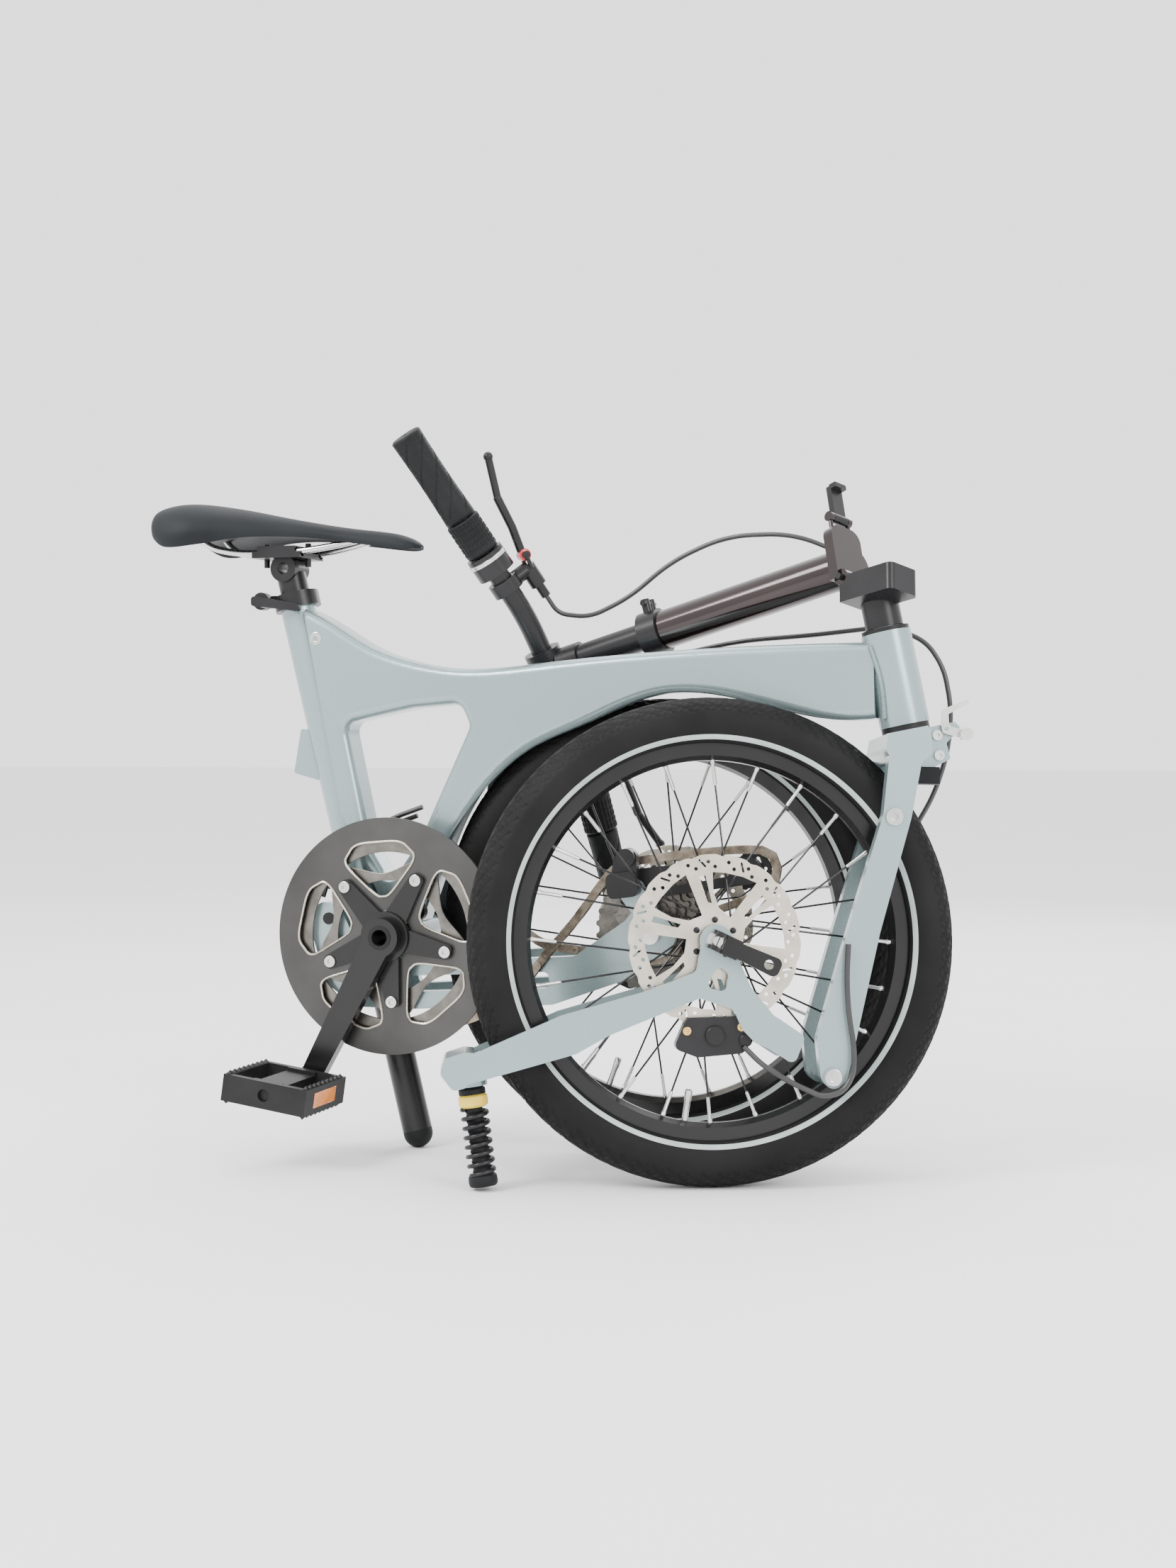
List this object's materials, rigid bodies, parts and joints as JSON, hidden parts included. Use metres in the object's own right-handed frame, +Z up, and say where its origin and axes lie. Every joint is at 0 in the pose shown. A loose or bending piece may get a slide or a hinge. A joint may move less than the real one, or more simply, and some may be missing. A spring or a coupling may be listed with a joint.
{
  "type": "folding bicycle",
  "caption": "Folding bicycle shown folded: beam frame, swung-under rear arm, folded front strut, folded stem, disc brakes, derailleur drive and lowered saddle.",
  "frame": {"origin": "middle of the whole bicycle's box, on the floor", "axes": "+X to the bicycle's front, +Y to its left side, +Z up"},
  "size_m": [0.8396, 0.3982, 0.7258],
  "materials": {
    "frame_paint": "satin metallic",
    "black_anodised": "satin",
    "gloss_black": "gloss",
    "bright_steel": "polished",
    "dark_guard": "anodised",
    "ring_steel": "worn",
    "disc_steel": "brushed",
    "spoke_black": "satin",
    "tyre_rubber": "matt with a pale stripe",
    "soft_black": "matt",
    "saddle_cover": "matt leatherette",
    "lever_black": "satin"
  },
  "bodies": {
    "frame": {"frame": "frame_paint", "seat_clamp": "black_anodised", "frame_hardware": "bright_steel", "rear_cables": "soft_black"},
    "seat_clamp_lever": {"seat_clamp_lever": "black_anodised"},
    "seatpost": {"seatpost": "black_anodised", "post_plug": "soft_black", "saddle_clamp": "black_anodised", "saddle_rails": "bright_steel", "saddle": "saddle_cover"},
    "crank": {"crank_right": "gloss_black", "crank_left": "gloss_black", "crank_axles": "bright_steel", "chainring": "ring_steel", "chain_guard": "dark_guard", "chainring_bolts": "bright_steel"},
    "pedal_right": {"pedal_right": "lever_black"},
    "pedal_left": {"pedal_left": "lever_black"},
    "rear_arm": {"rear_arm": "frame_paint", "rear_skewer": "bright_steel", "derailleur_body": "black_anodised", "rear_caliper": "black_anodised", "chain": "ring_steel"},
    "rear_quick_release": {"rear_quick_release": "bright_steel"},
    "derailleur_cage": {"derailleur_cage": "black_anodised"},
    "jockey_wheel_upper": {"jockey_wheel_upper": "lever_black"},
    "jockey_wheel_lower": {"jockey_wheel_lower": "lever_black"},
    "cassette": {"cassette": "ring_steel"},
    "rear_wheel": {"rear_tyre": "tyre_rubber", "rear_rim": "gloss_black", "rear_spokes": "spoke_black", "rear_hub": "black_anodised", "rear_rotor": "disc_steel"},
    "fork": {"fork": "frame_paint", "stem_base": "black_anodised", "upper_hose": "soft_black"},
    "fork_hook": {"fork_hook": "bright_steel"},
    "front_arm": {"front_arm": "frame_paint", "front_spring": "soft_black", "front_caliper": "black_anodised", "front_skewer": "bright_steel", "front_hose": "soft_black"},
    "front_wheel": {"front_tyre": "tyre_rubber", "front_rim": "gloss_black", "front_spokes": "spoke_black", "front_hub": "black_anodised", "front_rotor": "disc_steel"},
    "front_quick_release": {"front_quick_release": "bright_steel"},
    "stem": {"stem_tube": "gloss_black", "stem_lock": "black_anodised"},
    "stem_latch": {"stem_latch": "black_anodised"},
    "bar_post": {"bar_post": "black_anodised", "handlebar": "black_anodised", "grips": "soft_black", "bar_controls": "black_anodised", "bar_cables": "soft_black"},
    "brake_lever_right": {"brake_lever_right": "lever_black"},
    "brake_lever_left": {"brake_lever_left": "lever_black"},
    "twist_shifter_right": {"twist_shifter_right": "soft_black"},
    "twist_shifter_left": {"twist_shifter_left": "soft_black"}
  },
  "joints": [
    {"name": "rear_fold", "type": "hinge", "parent": "frame", "child": "rear_arm", "pos_m": [-0.21791, 0.02514, 0.234], "axis": [0, 1, 0], "range_deg": [0, 15], "deforming": ["chain", "rear_cables"]},
    {"name": "seat_lever", "type": "hinge", "parent": "frame", "child": "seat_clamp_lever", "pos_m": [-0.30411, 0.02514, 0.5565], "axis": [0, 1, 0], "range_deg": [0, 70]},
    {"name": "seat_height", "type": "slide", "parent": "frame", "child": "seatpost", "axis": [-0.2394, 0, 0.9709], "range_m": [0, 0.24]},
    {"name": "crank_turn", "type": "hinge", "parent": "frame", "child": "crank", "pos_m": [-0.14891, 0.02514, 0.219], "axis": [0, -1, 0], "range_deg": [-4, 36]},
    {"name": "pedal_spin_right", "type": "hinge", "parent": "crank", "child": "pedal_right", "pos_m": [-0.22568, -0.10486, 0.07521], "axis": [0, 1, 0], "continuous": true},
    {"name": "pedal_spin_left", "type": "hinge", "parent": "crank", "child": "pedal_left", "pos_m": [-0.07213, 0.15514, 0.36279], "axis": [0, 1, 0], "continuous": true},
    {"name": "derailleur_swing", "type": "hinge", "parent": "rear_arm", "child": "derailleur_cage", "pos_m": [0.09698, -0.00574, 0.2735], "axis": [0.0872, -0.9962, 0], "range_deg": [-2, 10], "stiffness_Nm_per_rad": 1},
    {"name": "jockey_upper_spin", "type": "hinge", "parent": "derailleur_cage", "child": "jockey_wheel_upper", "pos_m": [0.09698, -0.00574, 0.2735], "axis": [0.0872, -0.9962, 0], "range_deg": [-175, 175]},
    {"name": "jockey_lower_spin", "type": "hinge", "parent": "derailleur_cage", "child": "jockey_wheel_lower", "pos_m": [0.21553, 0.00464, 0.2895], "axis": [0.0872, -0.9962, 0], "range_deg": [-175, 175]},
    {"name": "cassette_spin", "type": "hinge", "parent": "rear_arm", "child": "cassette", "pos_m": [0.11482, 0.05425, 0.2275], "axis": [0.0872, -0.9962, 0], "range_deg": [-160, 160]},
    {"name": "rear_wheel_spin", "type": "hinge", "parent": "rear_arm", "child": "rear_wheel", "pos_m": [0.11482, 0.05425, 0.2275], "axis": [-0.0872, 0.9962, 0], "continuous": true},
    {"name": "rear_lever_open", "type": "hinge", "parent": "rear_arm", "child": "rear_quick_release", "pos_m": [0.10728, 0.14042, 0.2275], "axis": [0.3407, 0.0298, -0.9397], "range_deg": [0, 90]},
    {"name": "steer", "type": "hinge", "parent": "frame", "child": "fork", "pos_m": [0.35679, 0.02514, 0.4274], "axis": [-0.206, 0, 0.9785], "range_deg": [0, 2], "deforming": ["bar_cables"]},
    {"name": "hook_swing", "type": "hinge", "parent": "fork", "child": "fork_hook", "pos_m": [0.39154, 0.03855, 0.42346], "axis": [0.3666, -0.9272, 0.0772], "range_deg": [0, 25], "stiffness_Nm_per_rad": 0.3, "springref_deg": -5.73},
    {"name": "front_fold", "type": "hinge", "parent": "fork", "child": "front_arm", "pos_m": [0.29117, -0.02783, 0.10272], "axis": [0.3666, -0.9272, 0.0772], "range_deg": [0, 200], "deforming": ["front_hose"]},
    {"name": "front_wheel_spin", "type": "hinge", "parent": "front_arm", "child": "front_wheel", "pos_m": [0.18982, -0.05756, 0.22691], "axis": [-0.3666, 0.9272, -0.0772], "continuous": true},
    {"name": "front_lever_open", "type": "hinge", "parent": "front_arm", "child": "front_quick_release", "pos_m": [0.20925, -0.1067, 0.231], "axis": [-0.365, -0.2196, -0.9048], "range_deg": [0, 90]},
    {"name": "stem_fold", "type": "hinge", "parent": "fork", "child": "stem", "pos_m": [0.30679, 0.02814, 0.5643], "axis": [0.5034, 0.842, -0.1937], "range_deg": [0, 99], "deforming": ["bar_cables"]},
    {"name": "latch_swing", "type": "hinge", "parent": "stem", "child": "stem_latch", "pos_m": [0.28738, 0.05384, 0.62561], "axis": [0.5034, 0.842, -0.1937], "range_deg": [0, 75]},
    {"name": "bar_height", "type": "slide", "parent": "stem", "child": "bar_post", "axis": [-0.9493, 0.1566, -0.2726], "range_m": [0, 0.012], "deforming": ["bar_cables"]},
    {"name": "brake_squeeze_right", "type": "hinge", "parent": "bar_post", "child": "brake_lever_right", "pos_m": [-0.03987, 0.06915, 0.60226], "axis": [0.6369, -0.768, -0.0671], "range_deg": [0, 15], "stiffness_Nm_per_rad": 0.8, "springref_deg": -17.19},
    {"name": "brake_squeeze_left", "type": "hinge", "parent": "bar_post", "child": "brake_lever_left", "pos_m": [0.0329, 0.14771, 0.39394], "axis": [-0.6369, 0.768, 0.0671], "range_deg": [0, 15], "stiffness_Nm_per_rad": 0.8, "springref_deg": -17.19},
    {"name": "shift_twist_right", "type": "hinge", "parent": "bar_post", "child": "twist_shifter_right", "pos_m": [-0.08222, 0.03246, 0.62014], "axis": [-0.4285, -0.425, 0.7973], "range_deg": [-75, 75]},
    {"name": "shift_twist_left", "type": "hinge", "parent": "bar_post", "child": "twist_shifter_left", "pos_m": [0.01625, 0.13877, 0.33824], "axis": [0.1835, 0.2355, -0.9544], "range_deg": [-75, 75]}
  ],
  "couplings": [
    {"joint": "cassette_spin", "follows": "crank_turn", "ratio": -3.8462},
    {"joint": "jockey_upper_spin", "follows": "crank_turn", "ratio": -4.5455},
    {"joint": "jockey_lower_spin", "follows": "crank_turn", "ratio": -4.5455}
  ]
}
